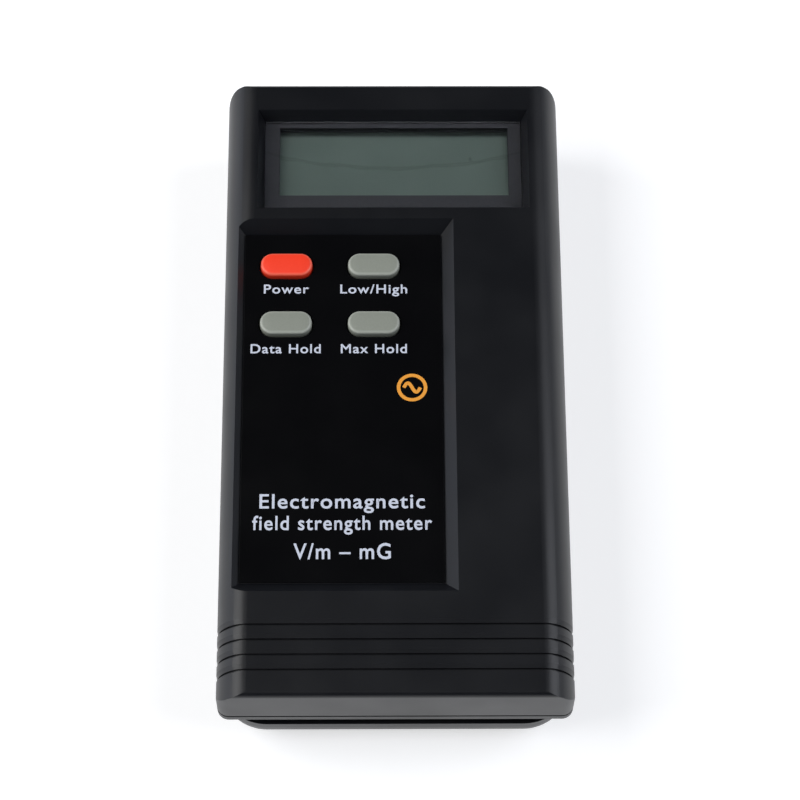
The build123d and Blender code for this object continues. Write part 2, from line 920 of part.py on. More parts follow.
def trimmer_rotor():
    """Brass rotor of the trimmer, with a screwdriver slot."""
    x, y = trimmer_place()
    well_z = board_top_z + trimmer_height - rotor_depth
    top_z = board_top_z + trimmer_height + rotor_rise
    rotor = rod(x, y, well_z, top_z, rotor_radius)
    slot_half = rotor_slot_width / 2
    slot_reach = 2 * rotor_radius
    slot_low_z = top_z - rotor_slot_depth
    return rotor - block(x - slot_reach, x + slot_reach, y - slot_half, y + slot_half, slot_low_z, top_z)


def coil_axis():
    """Y and Z of the coil's axis: its square flanges stand against the board."""
    return (top_end - coil_from_end, board_bottom_z - bobbin_flange / 2)


def coil_core():
    """Ferrite rod through the coil."""
    y, z = coil_axis()
    return rod_along_x(y, z, -core_length / 2, core_length / 2, core_radius)


def coil_bobbin():
    """Moulded bobbin with two square flanges."""
    y, z = coil_axis()
    half = bobbin_length / 2
    bore_radius = core_radius + bobbin_gap
    flange_half = bobbin_flange / 2
    bobbin = rod_along_x(y, z, -half, half, bore_radius + bobbin_wall)
    for sign in (-1, 1):
        inner = sign * (half - bobbin_flange_thickness)
        outer = sign * half
        bobbin = bobbin + block(
            min(inner, outer),
            max(inner, outer),
            y - flange_half,
            y + flange_half,
            z - flange_half,
            z + flange_half,
        )
    return bobbin - rod_along_x(y, z, -core_length, core_length, bore_radius)


def coil_winding():
    """Copper winding between the flanges."""
    y, z = coil_axis()
    half = bobbin_length / 2 - bobbin_flange_thickness
    inner_radius = core_radius + bobbin_gap + bobbin_wall
    outer = rod_along_x(y, z, -half, half, inner_radius + winding_thickness)
    return outer - rod_along_x(y, z, -half, half, inner_radius)


def antenna_plate():
    """Brass plate that picks up the electric field, bonded to the rear shell."""
    y = top_end - rear_setback - rear_roll_radius - antenna_roll_gap - antenna_length / 2
    radius = antenna_thickness
    return plate(antenna_width, antenna_length, radius, wall, wall + antenna_thickness, y=y)


def buzzer_levels():
    """Lowest and highest level of the buzzer, which hangs under the board."""
    return (board_bottom_z - buzzer_height, board_bottom_z)


def buzzer_case():
    """Round buzzer can with a sound port that faces the back."""
    y = top_end - buzzer_from_end
    low_z, high_z = buzzer_levels()
    disc_z = high_z - buzzer_disc_drop
    inner = buzzer_radius - buzzer_wall
    can = rod(buzzer_x, y, low_z, high_z, buzzer_radius)
    can = can - rod(buzzer_x, y, low_z + buzzer_wall, high_z, inner - buzzer_shelf_width)
    can = can - rod(buzzer_x, y, disc_z, high_z, inner)
    return can - rod(buzzer_x, y, low_z, high_z, buzzer_port_radius)


def buzzer_disc():
    """Thin piezo disc on the shelf inside the buzzer."""
    y = top_end - buzzer_from_end
    disc_z = buzzer_levels()[1] - buzzer_disc_drop
    return rod(buzzer_x, y, disc_z, disc_z + buzzer_disc_thickness, buzzer_disc_radius)


def battery():
    """Nine volt block battery, lying along the meter."""
    outline = RectangleRounded(battery_width, battery_depth, battery_edge_radius)
    body = extrude(outline, battery_length)
    return Pos(0, battery_low_y, battery_mid_z) * Rot(-90, 0, 0) * body


def cup_contact(x, base_y, mouth_y):
    """Round cup contact, open at its mouth."""
    low_y = min(base_y, mouth_y)
    high_y = max(base_y, mouth_y)
    cup = rod_along_y(x, battery_mid_z, low_y, high_y, cup_radius)
    if mouth_y > base_y:
        return cup - rod_along_y(x, battery_mid_z, low_y + cup_bottom, high_y, cup_bore_radius)
    return cup - rod_along_y(x, battery_mid_z, low_y, high_y - cup_bottom, cup_bore_radius)


def battery_terminals():
    """The battery's two contacts: a stud and a cup."""
    half = terminal_spacing / 2
    stud = rod_along_y(half, battery_mid_z, battery_high_y, terminal_end_y, stud_radius)
    cup = cup_contact(-half, battery_high_y, terminal_end_y)
    return Compound(children=[stud, cup])


def snap_connector():
    """Moulded strip that carries the snap contacts."""
    outline = RectangleRounded(connector_width, connector_depth, connector_edge_radius)
    body = extrude(outline, connector_thickness)
    return Pos(0, connector_low_y, battery_mid_z) * Rot(-90, 0, 0) * body


def snap_contacts():
    """A cup over the battery's stud and a stud in the battery's cup."""
    half = terminal_spacing / 2
    cup_mouth_y = battery_high_y + contact_gap
    cup = cup_contact(half, connector_low_y, cup_mouth_y)
    stud_tip_y = battery_high_y + cup_bottom + contact_gap
    stud = rod_along_y(-half, battery_mid_z, stud_tip_y, connector_low_y, stud_radius)
    return Compound(children=[cup, stud])


def lead_route(direction):
    """Points of a lead from the snap connector, under the board and up to its pad."""
    start_y = connector_high_y
    span = board_low_y + lead_pad_inset - start_y
    points = []
    for x, share, drop in lead_turns:
        points.append(Vector(direction * x, start_y + share * span, battery_mid_z - drop))
    pad = Vector(points[-1].X, points[-1].Y, board_bottom_z)
    return points + [pad]


def bend_radii(points):
    """Largest arc that each corner of a route leaves room for."""
    radii = []
    for before, corner, after in zip(points, points[1:], points[2:]):
        run_in = corner - before
        run_out = after - corner
        turn = math.radians(run_in.get_angle(run_out))
        shorter = min(run_in.length, run_out.length)
        radii.append(lead_bend_factor * shorter / math.tan(turn / 2))
    return radii


def lead(direction):
    """Insulated lead swept along straight runs and tangent arcs."""
    points = lead_route(direction)
    radii = bend_radii(points)
    path = FilletPolyline(*points, radius=radii)
    section = Plane(origin=points[0], z_dir=points[1] - points[0]) * Circle(lead_radius)
    tube = sweep(section, path)
    expected = math.pi * lead_radius ** 2 * path.length
    print("lead length", round(path.length, 2), "radii", [round(radius, 1) for radius in radii])
    print("lead volume", round(tube.volume, 3), "expected", round(expected, 3))
    return tube


def cross_recess(x, y, low_z):
    """Cross cut for a screwdriver, up into the head of a screw."""
    half = recess_slot_width / 2
    arm = board_screw_head_radius * recess_arm_share
    first = block(x - arm, x + arm, y - half, y + half, low_z, low_z + recess_slot_depth)
    second = block(x - half, x + half, y - arm, y + arm, low_z, low_z + recess_slot_depth)
    return first + second


def screw(x, y, seat_z, head_radius, head_height, shank_radius, shank_length):
    """Pan-head screw, driven towards the front from its seat."""
    head_low_z = seat_z - head_height
    head = rod(x, y, head_low_z, seat_z, head_radius)
    head = fillet(head.faces().sort_by(Axis.Z)[0].edges(), head_height * screw_edge_share)
    shank = rod(x, y, seat_z, seat_z + shank_length, shank_radius)
    shank = chamfer(shank.faces().sort_by(Axis.Z)[-1].edges(), shank_radius * screw_tip_share)
    return head + shank - cross_recess(x, y, head_low_z)


def case_screws():
    """Four screws through the rear bosses into the front ones."""
    head = (case_screw_head_radius, case_screw_head_height)
    shank = (case_screw_radius, case_screw_length)
    return Compound(children=[screw(x, y, case_screw_seat_z, *head, *shank) for x, y in boss_places])


def board_screws():
    """Screws that hold the board on the front shell's posts."""
    head = (board_screw_head_radius, board_screw_head_height)
    shank = (board_screw_radius, board_screw_length)
    return Compound(children=[screw(x, y, board_bottom_z, *head, *shank) for x, y in board_post_places])


def build_nodes():
    """Every piece of the meter by the name of its node."""
    nodes = {
        "front_shell": front_shell(),
        "rear_shell": rear_shell(),
        "battery_door": battery_door(),
        "display_lens": display_lens(),
        "keypad_label": keypad_label(),
        "lcd_frame": lcd_frame(),
        "lcd_panel": lcd_panel(),
        "lcd_reflector": lcd_reflector(),
        "zebra_strips": zebra_strips(),
        "main_pcb": main_pcb(),
        "switch_bodies": switch_bodies(),
        "adc_chip": adc_chip(),
        "opamp_chips": opamp_chips(),
        "chip_resistors": chip_resistors(),
        "chip_capacitors": chip_capacitors(),
        "electrolytic_caps": electrolytic_caps(),
        "trimmer_body": trimmer_body(),
        "trimmer_rotor": trimmer_rotor(),
        "coil_core": coil_core(),
        "coil_bobbin": coil_bobbin(),
        "coil_winding": coil_winding(),
        "antenna_plate": antenna_plate(),
        "buzzer_case": buzzer_case(),
        "buzzer_disc": buzzer_disc(),
        "battery": battery(),
        "battery_terminals": battery_terminals(),
        "snap_connector": snap_connector(),
        "snap_contacts": snap_contacts(),
        "lead_red": lead(1),
        "lead_black": lead(-1),
        "case_screws": case_screws(),
        "board_screws": board_screws(),
    }
    for key, (x, y) in key_places.items():
        nodes[key + "_keycap"] = keycap(x, y)
        nodes[key + "_plunger"] = switch_plunger(x, y)
        nodes[key + "_dome"] = snap_dome(x, y)
    return nodes


os.makedirs("parts", exist_ok=True)
for name, shape in build_nodes().items():
    export_step(shape, "parts/" + name + ".step")
    print(name, len(shape.solids()), round(shape.volume, 2))
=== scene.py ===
import math

import bmesh
import bpy
from mathutils import Matrix, Vector


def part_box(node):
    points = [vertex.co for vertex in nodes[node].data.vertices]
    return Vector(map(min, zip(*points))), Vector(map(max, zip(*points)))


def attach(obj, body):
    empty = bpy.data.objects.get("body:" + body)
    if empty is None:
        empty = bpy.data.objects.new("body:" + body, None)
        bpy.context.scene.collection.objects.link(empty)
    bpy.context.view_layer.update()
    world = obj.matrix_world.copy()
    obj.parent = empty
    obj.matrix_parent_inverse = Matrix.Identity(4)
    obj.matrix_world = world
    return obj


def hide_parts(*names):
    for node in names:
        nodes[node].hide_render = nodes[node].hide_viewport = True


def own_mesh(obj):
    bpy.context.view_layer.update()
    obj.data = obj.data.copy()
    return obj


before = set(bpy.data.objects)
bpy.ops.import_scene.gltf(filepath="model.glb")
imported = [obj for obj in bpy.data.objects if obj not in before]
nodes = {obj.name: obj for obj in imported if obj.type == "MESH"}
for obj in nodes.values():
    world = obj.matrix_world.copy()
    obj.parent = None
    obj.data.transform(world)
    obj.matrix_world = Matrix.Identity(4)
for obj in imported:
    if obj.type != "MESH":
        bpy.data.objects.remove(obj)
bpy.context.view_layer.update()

mm = 0.001


# ---- Rear shell ---------------------------------------------------------------
# The lower half of the case: black ABS, injection moulded, with a fine spark-eroded
# grain. Its tongue stands inside the front shell, and its bosses carry the screws.

def linear(hex_colour):
    """Linear RGBA of an sRGB hex colour."""
    parts = [int(hex_colour[start:start + 2], 16) / 255 for start in (1, 3, 5)]
    return [c / 12.92 if c <= 0.04045 else ((c + 0.055) / 1.055) ** 2.4 for c in parts] + [1.0]


def add(tree, kind, inputs, **settings):
    """Adds a node with its settings, input values and links, and returns it."""
    made = tree.nodes.new(kind)
    for name, value in settings.items():
        setattr(made, name, value)
    for name, value in inputs.items():
        socket = made.inputs[name]
        if isinstance(value, bpy.types.NodeSocket):
            tree.links.new(value, socket)
        else:
            socket.default_value = value
    return made


def begin_material(name):
    """An empty material, its tree, and the object's own coordinates in metres."""
    material = bpy.data.materials.new(name)
    material.use_nodes = True
    tree = material.node_tree
    tree.nodes.clear()
    return material, tree, add(tree, "ShaderNodeTexCoord", {}).outputs["Object"]


def end_material(tree, surface):
    """Closes a material with its surface shader."""
    shader = add(tree, "ShaderNodeBsdfPrincipled", surface)
    add(tree, "ShaderNodeOutputMaterial", {"Surface": shader.outputs["BSDF"]})


def moulded(name, dark, light, grain, depth, gloss_low, gloss_high, painted_rim_colour=None, **surface):
    """Moulded plastic: fine grain in colour and height, and a slow drift in gloss. Where the
    piece marks an edge, that edge takes the pale colour: a painted highlight on the rim."""
    material, tree, places = begin_material(name)
    fine = add(tree, "ShaderNodeTexNoise", {"Vector": places, "Scale": 1 / grain, "Detail": 3.0})
    slow = add(tree, "ShaderNodeTexNoise", {"Vector": places, "Scale": 1 / (14 * mm), "Detail": 2.0})
    tint = add(tree, "ShaderNodeMix", {
        "Factor": fine.outputs["Fac"], "A": linear(dark), "B": linear(light)}, data_type="RGBA")
    gloss = add(tree, "ShaderNodeMapRange", {
        "Value": slow.outputs["Fac"], "From Min": 0.3, "From Max": 0.7,
        "To Min": gloss_low, "To Max": gloss_high})
    bump = add(tree, "ShaderNodeBump", {
        "Height": fine.outputs["Fac"], "Strength": 0.3, "Distance": depth})
    # Painted highlight: where the piece marks an edge, the colour is mixed towards the pale one.
    if painted_rim_colour:
        painted_rim_highlight = add(tree, "ShaderNodeAttribute", {}, attribute_name="painted_rim_highlight")
        tint = add(tree, "ShaderNodeMix", {
            "Factor": painted_rim_highlight.outputs["Fac"], "A": tint.outputs["Result"], "B": linear(painted_rim_colour)},
            data_type="RGBA")
    end_material(tree, {
        "Base Color": tint.outputs["Result"], "Roughness": gloss.outputs["Result"],
        "Normal": bump.outputs["Normal"],
        **{key.replace("_", " "): value for key, value in surface.items()}})
    return material


def paint(material, *names):
    """Gives CAD nodes their material."""
    for name in names:
        mesh = nodes[name].data
        mesh.materials.clear()
        mesh.materials.append(material)


# The real grain is about 0.1 mm; it is drawn at 0.4 mm, so that it shows. It turns
# the sharp mirror of bare plastic into a satin sheen.
case_abs = moulded("black_abs_moulded", "#06070a", "#0b0d12", 0.4 * mm, 0.02 * mm, 0.36, 0.43,
                   IOR=1.48)
paint(case_abs, "rear_shell")


# ---- Field plate ----------------------------------------------------------------
# Thin brass sheet that picks up the electric field, glued to the floor of the rear
# shell. Rolled metal, so fine straight marks run along it.

brass, tree, places = begin_material("rolled_brass")
stretched = add(tree, "ShaderNodeMapping", {"Vector": places, "Scale": (40, 1200, 40)})
marks = add(tree, "ShaderNodeTexNoise", {"Vector": stretched.outputs["Vector"], "Scale": 3.0, "Detail": 4.0})
tint = add(tree, "ShaderNodeMix", {
    "Factor": marks.outputs["Fac"], "A": linear("#a98a4a"), "B": linear("#d2b470")}, data_type="RGBA")
gloss = add(tree, "ShaderNodeMapRange", {"Value": marks.outputs["Fac"], "To Min": 0.25, "To Max": 0.45})
end_material(tree, {
    "Base Color": tint.outputs["Result"], "Metallic": 1.0, "Roughness": gloss.outputs["Result"]})
paint(brass, "antenna_plate", "trimmer_rotor")


# ---- Pick-up coil ---------------------------------------------------------------
# Ferrite rod in a moulded nylon bobbin, wound with enamelled copper wire. It hangs
# under the board, with its square flanges against it.

# Pressed and fired ceramic: dull, dark grey and slightly speckled.
ferrite = moulded("fired_ferrite", "#1f2022", "#3a3b3d", 0.3 * mm, 0.02 * mm, 0.6, 0.75)
paint(ferrite, "coil_core")
# Unfilled nylon: milky, with a soft gloss.
nylon = moulded("natural_nylon", "#cfc9b8", "#dcd7c8", 0.8 * mm, 0.01 * mm, 0.4, 0.5)
paint(nylon, "coil_bobbin")

wire_pitch = 0.35 * mm
enamel, tree, places = begin_material("enamelled_copper_wire")
turns = add(tree, "ShaderNodeTexWave", {
    "Vector": places, "Scale": 1 / (wire_pitch * 20) * math.pi, "Distortion": 0.3},
    wave_type="BANDS", bands_direction="X", wave_profile="SIN")
# The colour follows the bump: darker in the grooves between turns, a painted shade, and lighter on each
# crest, a painted highlight.
tint = add(tree, "ShaderNodeMix", {
    "Factor": turns.outputs["Fac"], "A": linear("#5a2410"), "B": linear("#c0652e")}, data_type="RGBA")
bump = add(tree, "ShaderNodeBump", {
    "Height": turns.outputs["Fac"], "Strength": 0.8, "Distance": wire_pitch / 2})
end_material(tree, {
    "Base Color": tint.outputs["Result"], "Metallic": 0.7, "Roughness": 0.3,
    "Normal": bump.outputs["Normal"]})
paint(enamel, "coil_winding")


# ---- Buzzer ---------------------------------------------------------------------
# Small moulded pot with a piezo disc on an inner shelf. It stands on the rear shell
# over the sound holes.

housing_plastic = moulded("black_glass_filled_nylon", "#141416", "#222225", 0.5 * mm, 0.03 * mm, 0.5, 0.6)
paint(housing_plastic, "buzzer_case")
paint(brass, "buzzer_disc")


# ---- Main board -----------------------------------------------------------------
# Glass epoxy board with green solder mask. The mask lies over copper tracks, which
# show as lighter raised lines.

track_pitch = 2.54 * mm
solder_mask, tree, places = begin_material("green_solder_mask")
tracks = add(tree, "ShaderNodeTexBrick", {
    "Vector": places, "Scale": 1 / track_pitch, "Mortar Size": 0.06, "Brick Width": 3.0,
    "Row Height": 0.5, "Color1": (0, 0, 0, 1), "Color2": (0, 0, 0, 1), "Mortar": (1, 1, 1, 1)})
weave = add(tree, "ShaderNodeTexNoise", {"Vector": places, "Scale": 1 / (0.6 * mm), "Detail": 2.0})
mask = add(tree, "ShaderNodeMix", {
    "Factor": tracks.outputs["Color"], "A": linear("#0f3d22"), "B": linear("#236a3c")}, data_type="RGBA")
tint = add(tree, "ShaderNodeMix", {
    "Factor": weave.outputs["Fac"], "A": mask.outputs["Result"], "B": linear("#0c301b")}, data_type="RGBA")
bump = add(tree, "ShaderNodeBump", {
    "Height": tracks.outputs["Color"], "Strength": 0.5, "Distance": 0.035 * mm})
end_material(tree, {
    "Base Color": tint.outputs["Result"], "Roughness": 0.35, "Normal": bump.outputs["Normal"]})
paint(solder_mask, "main_pcb")


# ---- Chips, resistors and capacitors ----------------------------------------------
# Surface-mount parts, soldered flat. Chips are black epoxy with tinned legs; the
# small blocks are ceramic; the two cans are aluminium in a printed sleeve.

chip_low, chip_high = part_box("adc_chip")
leg_reach = 1.4 * mm
body_half = (chip_high.x - chip_low.x) / 2 - leg_reach
chip_epoxy, tree, places = begin_material("black_chip_epoxy")
centred = add(tree, "ShaderNodeMapping", {
    "Vector": places, "Location": (-(chip_low.x + chip_high.x) / 2, -(chip_low.y + chip_high.y) / 2, 0)})
split = add(tree, "ShaderNodeSeparateXYZ", {"Vector": centred.outputs["Vector"]})
across = add(tree, "ShaderNodeMath", {0: split.outputs["X"]}, operation="ABSOLUTE")
along = add(tree, "ShaderNodeMath", {0: split.outputs["Y"]}, operation="ABSOLUTE")
far = add(tree, "ShaderNodeMath", {0: across.outputs[0], 1: along.outputs[0]}, operation="MAXIMUM")
legs = add(tree, "ShaderNodeMath", {0: far.outputs[0], 1: body_half + 0.02 * mm}, operation="GREATER_THAN")
pits = add(tree, "ShaderNodeTexNoise", {"Vector": places, "Scale": 1 / (0.25 * mm), "Detail": 2.0})
epoxy = add(tree, "ShaderNodeMix", {
    "Factor": pits.outputs["Fac"], "A": linear("#131314"), "B": linear("#262628")}, data_type="RGBA")
tint = add(tree, "ShaderNodeMix", {
    "Factor": legs.outputs[0], "A": epoxy.outputs["Result"], "B": linear("#c9c9c6")}, data_type="RGBA")
end_material(tree, {
    "Base Color": tint.outputs["Result"], "Metallic": legs.outputs[0], "Roughness": 0.42})
paint(chip_epoxy, "adc_chip")
epoxy_plain = moulded("black_epoxy", "#131314", "#262628", 0.25 * mm, 0.02 * mm, 0.4, 0.5)
paint(epoxy_plain, "opamp_chips")
# Glazed alumina under a black overcoat, and bare brown-grey dielectric.
paint(moulded("resistor_overcoat", "#101012", "#2a2a2c", 0.4 * mm, 0.01 * mm, 0.3, 0.4), "chip_resistors")
paint(moulded("capacitor_ceramic", "#8c7a62", "#a8947a", 0.3 * mm, 0.01 * mm, 0.45, 0.55), "chip_capacitors")
paint(moulded("can_sleeve_blue_black", "#16203a", "#243154", 1.5 * mm, 0.01 * mm, 0.25, 0.35),
      "electrolytic_caps")
paint(moulded("trimmer_blue_nylon", "#1c4f9c", "#2a62b4", 0.5 * mm, 0.02 * mm, 0.4, 0.5), "trimmer_body")


# ---- Display module ---------------------------------------------------------------
# Liquid crystal cell on two layered rubber strips, with a reflector film behind it
# and a moulded dark grey frame round it. The frame stands on the board.

# Aluminised film: bright and slightly brushed.
reflector = moulded("aluminised_film", "#aeb2b4", "#c8cccd", 0.3 * mm, 0.01 * mm, 0.3, 0.4, Metallic=0.9)
paint(reflector, "lcd_reflector")
# Layers of carbon-loaded and plain silicone: matt, near-black stripes.
paint(moulded("layered_silicone", "#1b1b1c", "#3c3c3d", 0.2 * mm, 0.03 * mm, 0.7, 0.8), "zebra_strips")
# Fine-grained polystyrene: lighter and duller than the case round it.
frame_plastic = moulded("dark_grey_polystyrene", "#2a2a2e", "#323237", 0.4 * mm, 0.01 * mm, 0.4, 0.5)
paint(frame_plastic, "lcd_frame")

# The cell looks grey-green through its polariser. The frame keeps light from its far
# edge, so that edge is a darker band; the rest is very slightly cloudy.
frame_low, frame_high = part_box("lcd_frame")
shade_far = frame_high.y - 1.65 * mm
shade_width, shade_overlap = 1.5 * mm, 0.5 * mm
cell_glass, tree, places = begin_material("lcd_polariser_glass")
height = add(tree, "ShaderNodeSeparateXYZ", {"Vector": places}).outputs["Y"]
shade = add(tree, "ShaderNodeMapRange", {
    "Value": height, "From Min": shade_far - shade_width, "From Max": shade_far - shade_overlap},
    interpolation_type="SMOOTHSTEP")
cloud = add(tree, "ShaderNodeTexNoise", {"Vector": places, "Scale": 1 / (9 * mm), "Detail": 2.0})
glow = add(tree, "ShaderNodeMix", {
    "Factor": cloud.outputs["Fac"], "A": linear("#707e79"), "B": linear("#7a8883")}, data_type="RGBA")
tint = add(tree, "ShaderNodeMix", {
    "Factor": shade.outputs["Result"], "A": glow.outputs["Result"], "B": linear("#3c4341")}, data_type="RGBA")
end_material(tree, {"Base Color": tint.outputs["Result"], "Roughness": 0.32, "IOR": 1.5})
paint(cell_glass, "lcd_panel")


# ---- Push switches ----------------------------------------------------------------
# Four momentary switches under the keys: square housing, white plunger, and a
# pressed stainless dome that snaps.

key_names = ("power", "range", "hold", "max")
paint(housing_plastic, "switch_bodies")
# Acetal: white, waxy and faintly see-through at its edges.
acetal = moulded("white_acetal", "#dedcd4", "#e9e7df", 0.6 * mm, 0.01 * mm, 0.35, 0.45)
paint(acetal, *[name + "_plunger" for name in key_names])
# Pressed stainless strip: bright, with a soft rolled grain.
steel = moulded("pressed_stainless", "#b9b9b6", "#cfcfcc", 0.3 * mm, 0.005 * mm, 0.25, 0.35, Metallic=1.0)


def make_piece(name, mesh, material, body):
    """A finished piece at the origin, in its body."""
    piece = bpy.data.objects.new(name, mesh)
    bpy.context.scene.collection.objects.link(piece)
    mesh.materials.clear()
    mesh.materials.append(material)
    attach(piece, body)
    return piece


# A real dome flattens as its key goes down; here it keeps its rest shape, with its foot on the housing.
for name in key_names:
    low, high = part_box(name + "_dome")
    made = bmesh.new()
    made.from_mesh(nodes[name + "_dome"].data)
    bmesh.ops.remove_doubles(made, verts=made.verts, dist=1e-6)
    mesh = bpy.data.meshes.new(name + "_snap_dome")
    made.to_mesh(mesh)
    made.free()
    mesh.shade_smooth()
    mesh.set_sharp_from_angle(angle=math.radians(40))
    snap = make_piece(name + "_snap_dome", mesh, steel, "root")
    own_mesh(snap)
    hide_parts(name + "_dome")


# ---- Battery and its snap connector -------------------------------------------------
# Nine volt block in a printed steel jacket, held in ribs on the rear shell. The snap
# connector is a stiff plate with pressed contacts and two PVC leads to the board.

battery_low, battery_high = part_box("battery")
band_edge = battery_low.y + 0.7 * (battery_high.y - battery_low.y)
jacket, tree, places = begin_material("printed_steel_jacket")
height = add(tree, "ShaderNodeSeparateXYZ", {"Vector": places}).outputs["Y"]
band = add(tree, "ShaderNodeMath", {0: height, 1: band_edge}, operation="GREATER_THAN")
scuffs = add(tree, "ShaderNodeTexNoise", {"Vector": places, "Scale": 1 / (3 * mm), "Detail": 5.0})
tint = add(tree, "ShaderNodeMix", {
    "Factor": band.outputs[0], "A": linear("#23252b"), "B": linear("#b8862f")}, data_type="RGBA")
gloss = add(tree, "ShaderNodeMapRange", {"Value": scuffs.outputs["Fac"], "To Min": 0.2, "To Max": 0.45})
end_material(tree, {
    "Base Color": tint.outputs["Result"], "Metallic": 0.6, "Roughness": gloss.outputs["Result"]})
paint(jacket, "battery")
# Nickel plate over steel: bright, a little warm.
plated = moulded("nickel_plated_steel", "#b7b3aa", "#d0ccc3", 0.5 * mm, 0.005 * mm, 0.2, 0.32, Metallic=1.0)
paint(plated, "battery_terminals", "snap_contacts")
paint(housing_plastic, "snap_connector")
# Soft PVC sleeves: bright colour under a greasy sheen.
paint(moulded("red_pvc_sleeve", "#a3120f", "#b91c17", 0.6 * mm, 0.01 * mm, 0.35, 0.45), "lead_red")
paint(moulded("black_pvc_sleeve", "#101011", "#1c1c1e", 0.6 * mm, 0.01 * mm, 0.35, 0.45), "lead_black")


def lettering(lines):
    """One flat mesh of all lines: (words, centre x, baseline y, width, tall letter height)."""
    made = bmesh.new()
    for words, centre_x, baseline_y, width, tall in lines:
        curve = bpy.data.curves.new("words", "FONT")
        curve.body = words
        curve.resolution_u = 4
        curve.space_character = 1.12
        curve.extrude = 0.5
        helper = bpy.data.objects.new("words", curve)
        bpy.context.scene.collection.objects.link(helper)
        bpy.context.view_layer.update()
        flat = bpy.data.meshes.new_from_object(helper.evaluated_get(bpy.context.evaluated_depsgraph_get()))
        bpy.data.objects.remove(helper)
        # The strokes are thickened by moving their walls outwards.
        strokes = bmesh.new()
        strokes.from_mesh(flat)
        bmesh.ops.remove_doubles(strokes, verts=strokes.verts, dist=1e-4)
        strokes.normal_update()
        moves = []
        for vertex in strokes.verts:
            outward = Vector((0, 0, 0))
            for face in vertex.link_faces:
                if abs(face.normal.z) < 0.5:
                    outward += face.normal
            moves.append(outward.normalized() * stroke_growth)
        for vertex, move in zip(strokes.verts, moves):
            vertex.co += move
        strokes.to_mesh(flat)
        strokes.free()
        xs = [vertex.co.x for vertex in flat.vertices]
        ys = [vertex.co.y for vertex in flat.vertices]
        stretch_x = width / (max(xs) - min(xs))
        stretch_y = tall / max(ys)
        flat.transform(Matrix.Diagonal((stretch_x, stretch_y, ink_thickness, 1)))
        flat.transform(Matrix.Translation((centre_x - stretch_x * (max(xs) + min(xs)) / 2, baseline_y, 0)))
        made.from_mesh(flat)
        bpy.data.meshes.remove(flat)
    mesh = bpy.data.meshes.new("lettering")
    made.to_mesh(mesh)
    made.free()
    return mesh


ink_thickness = 0.03 * mm
# How far each stroke's wall moves out, as a share of the letter size.
stroke_growth = 0.016
# Screen ink: flat, even and a little chalky.
jacket_ink = moulded("cream_jacket_ink", "#d9d2bd", "#e6dfca", 0.5 * mm, 0.002 * mm, 0.45, 0.55)
battery_centre_x = (battery_low.x + battery_high.x) / 2
marks = lettering([
    ("9V", battery_centre_x, battery_low.y + 16 * mm, 12 * mm, 7 * mm),
    ("+", battery_centre_x - 7 * mm, battery_high.y - 9 * mm, 4 * mm, 4 * mm),
    ("-", battery_centre_x + 7 * mm, battery_high.y - 9 * mm, 3 * mm, 2.4 * mm)])
# Turned over, to read from the back, and laid on the jacket's back face.
marks.transform(Matrix.Diagonal((-1, 1, -1, 1)))
marks.transform(Matrix.Translation((2 * battery_centre_x, 0, battery_low.z)))
make_piece("battery_jacket_print", marks, jacket_ink, "root")


# ---- Front shell ------------------------------------------------------------------
# The upper half of the case, moulded in the same black ABS: two sunk panels, four
# grip grooves round the near end and a trim line above the joint.

paint(case_abs, "front_shell")


# ---- Display lens -----------------------------------------------------------------
# Clear cast acrylic, saw-cut and polished, dropped into its pocket from the front.

lens_low, lens_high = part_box("display_lens")
lens_middle = (lens_low + lens_high) / 2
crease_rise, crease_low, crease_width = 5.0, -1.4 * mm, 0.4 * mm
bubble_place, bubble_radius = (15.5 * mm, 1.4 * mm), 0.45 * mm
acrylic, tree, places = begin_material("clear_cast_acrylic")
haze = add(tree, "ShaderNodeTexNoise", {"Vector": places, "Scale": 1 / (6 * mm), "Detail": 2.0})
gloss = add(tree, "ShaderNodeMapRange", {"Value": haze.outputs["Fac"], "To Min": 0.015, "To Max": 0.045})
# The thin shipping film is still on: one shallow crease runs across it, with a small
# bubble near its end. Both only dim what is behind them a little.
split = add(tree, "ShaderNodeSeparateXYZ", {"Vector": add(tree, "ShaderNodeMapping", {
    "Vector": places, "Location": (-lens_middle.x, -lens_middle.y, 0)}).outputs["Vector"]})
square = add(tree, "ShaderNodeMath", {0: split.outputs["X"], 1: 2.0}, operation="POWER")
arc = add(tree, "ShaderNodeMath", {0: square.outputs[0], 1: crease_rise, 2: crease_low},
          operation="MULTIPLY_ADD")
wobble = add(tree, "ShaderNodeMath", {0: haze.outputs["Fac"], 1: 1.6 * mm, 2: arc.outputs[0]},
             operation="MULTIPLY_ADD")
off_line = add(tree, "ShaderNodeMath", {0: split.outputs["Y"], 1: wobble.outputs[0]}, operation="SUBTRACT")
crease = add(tree, "ShaderNodeMapRange", {
    "Value": add(tree, "ShaderNodeMath", {0: off_line.outputs[0]}, operation="ABSOLUTE").outputs[0],
    "From Min": 0.0, "From Max": crease_width, "To Min": 1.0, "To Max": 0.0}, interpolation_type="SMOOTHSTEP")
flat_place = add(tree, "ShaderNodeCombineXYZ", {"X": split.outputs["X"], "Y": split.outputs["Y"]})
off_bubble = add(tree, "ShaderNodeVectorMath", {0: flat_place.outputs[0], 1: (*bubble_place, 0)},
                 operation="DISTANCE")
bubble = add(tree, "ShaderNodeMapRange", {
    "Value": off_bubble.outputs["Value"], "From Min": bubble_radius * 0.5, "From Max": bubble_radius,
    "To Min": 1.0, "To Max": 0.0}, interpolation_type="SMOOTHSTEP")
dimmed = add(tree, "ShaderNodeMath", {0: crease.outputs["Result"], 1: bubble.outputs["Result"]},
             operation="MAXIMUM")
tint = add(tree, "ShaderNodeMix", {
    "Factor": dimmed.outputs[0], "A": linear("#fcfefd"), "B": linear("#e1e6e3")}, data_type="RGBA")
end_material(tree, {
    "Base Color": tint.outputs["Result"], "Roughness": gloss.outputs["Result"], "IOR": 1.49,
    "Transmission Weight": 1.0})
paint(acrylic, "display_lens")

